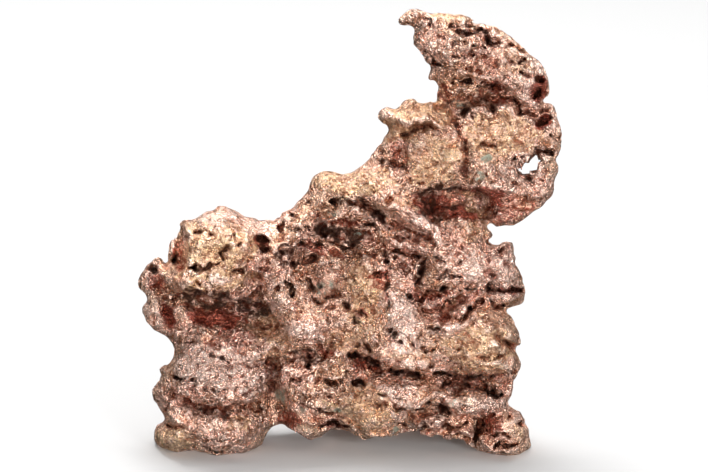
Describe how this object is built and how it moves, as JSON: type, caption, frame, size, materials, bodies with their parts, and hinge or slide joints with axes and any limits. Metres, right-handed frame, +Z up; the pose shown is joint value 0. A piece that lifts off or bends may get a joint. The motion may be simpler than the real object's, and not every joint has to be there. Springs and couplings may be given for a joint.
{
  "type": "native copper nugget",
  "caption": "Rough lobed native copper nugget: a thick pitted body that stands on worn spots, with a thinner plate above it ending in a curled horn.",
  "frame": {"origin": "centre of the bounding box's bottom, on the ground that the nugget stands on", "axes": "+X to the nugget's right as its main face is seen, +Y from the main face to the back, +Z up towards the horn"},
  "size_m": [0.0838, 0.0298, 0.0874],
  "materials": {
    "copper": "bright, hackly native copper with golden tarnish on proud faces and dark red oxide in the hollows"
  },
  "bodies": {
    "root": {"nugget": "copper"}
  },
  "joints": []
}
